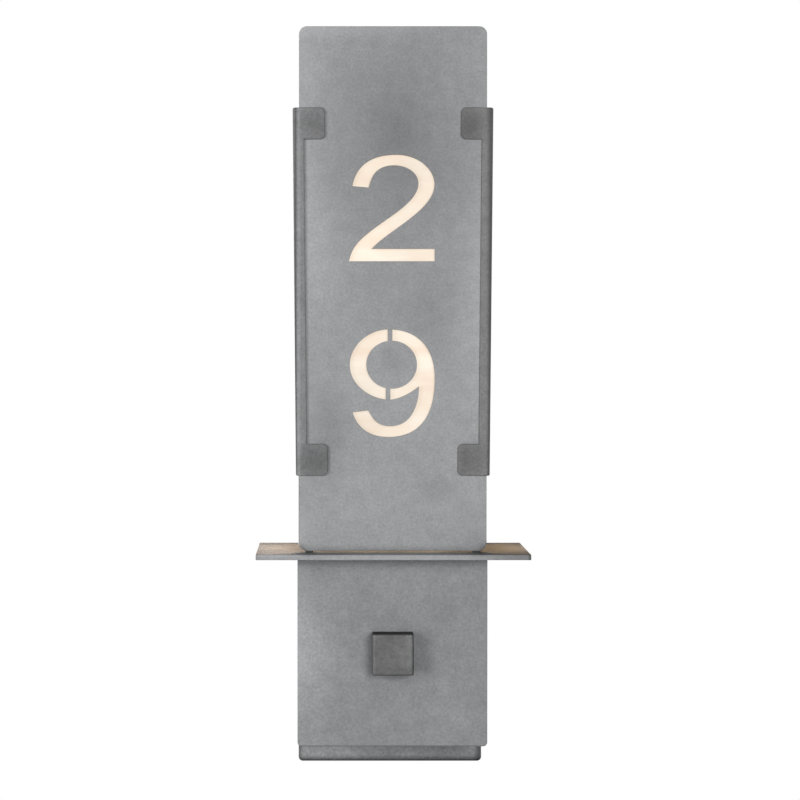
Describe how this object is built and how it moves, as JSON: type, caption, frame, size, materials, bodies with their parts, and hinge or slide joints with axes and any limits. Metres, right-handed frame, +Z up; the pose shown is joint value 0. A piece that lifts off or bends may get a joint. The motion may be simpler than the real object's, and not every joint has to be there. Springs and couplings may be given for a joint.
{
  "type": "wall sconce",
  "caption": "Tall outdoor wall sconce: cut-out number panel lit from behind, held by side brackets over a shelf, with a square lower plate and square cap nut.",
  "frame": {"origin": "on the wall plane, at the centre of the junction box, where the stud's axis meets the wall", "axes": "+X to the viewer's right, +Y into the wall, +Z up"},
  "size_m": [0.254, 0.1016, 0.7009],
  "materials": {
    "panel_grey": "fine sandy powder coat",
    "bracket_grey": "fine sandy powder coat, darker",
    "cap_grey": "smooth satin coat, darker",
    "box_grey": "powder coat",
    "opal": "opal acrylic, lit from behind",
    "zinc": "zinc plated",
    "earth_green": "green dyed zinc",
    "foam": "closed cell foam",
    "black_rubber": "matte",
    "porcelain": "glazed",
    "brass": "bare",
    "lamp_metal": "bare",
    "frosted_glass": "frosted, warm white",
    "nylon": "moulded nylon",
    "black_insulation": "wire insulation",
    "white_insulation": "wire insulation"
  },
  "bodies": {
    "frame": {"anchor_spacer": "zinc", "back_pan": "panel_grey", "box_gasket": "foam", "bracket_screws": "zinc", "center_stud": "zinc", "ground_screw": "earth_green", "lead_clips": "nylon", "lead_grommet": "black_rubber", "left_bracket": "bracket_grey", "lower_lamp_base": "lamp_metal", "lower_lamp_glass": "frosted_glass", "lower_live_lead": "black_insulation", "lower_neutral_lead": "white_insulation", "lower_plate": "panel_grey", "lower_screw_shell": "brass", "lower_socket": "porcelain", "lower_socket_bracket": "zinc", "lower_socket_contact": "brass", "lower_socket_screws": "zinc", "mounting_strap": "zinc", "pan_nuts": "zinc", "panel_bumpers": "black_rubber", "right_bracket": "bracket_grey", "shelf": "panel_grey", "shelf_nuts": "zinc", "shelf_screws": "zinc", "socket_bracket_screws": "zinc", "stud_locknut": "zinc", "supply_grommet": "black_rubber", "terminal_block": "nylon", "terminal_block_screws": "zinc", "upper_lamp_base": "lamp_metal", "upper_lamp_glass": "frosted_glass", "upper_live_lead": "black_insulation", "upper_neutral_lead": "white_insulation", "upper_screw_shell": "brass", "upper_socket": "porcelain", "upper_socket_bracket": "zinc", "upper_socket_contact": "brass", "upper_socket_screws": "zinc", "wiring_box": "box_grey", "wiring_box_screws": "zinc"},
    "face": {"number_panel": "panel_grey", "diffuser": "opal", "diffuser_washers": "zinc", "diffuser_nuts": "zinc"},
    "washer": {"cap_nut_washer": "black_rubber"},
    "nut": {"cap_nut": "cap_grey"}
  },
  "joints": [
    {"name": "face_lift", "type": "slide", "parent": "frame", "child": "face", "axis": [0, 0, 1], "range_m": [0, 0.415]},
    {"name": "washer_travel", "type": "slide", "parent": "frame", "child": "washer", "axis": [0, -1, 0], "range_m": [0, 0.0095]},
    {"name": "cap_nut_turn", "type": "hinge", "parent": "washer", "child": "nut", "pos_m": [0, 0, 0], "axis": [0, -1, 0], "range_deg": [0, 3600]}
  ],
  "couplings": [
    {"joint": "washer_travel", "follows": "cap_nut_turn", "m_per_rad": 0.00014972}
  ]
}
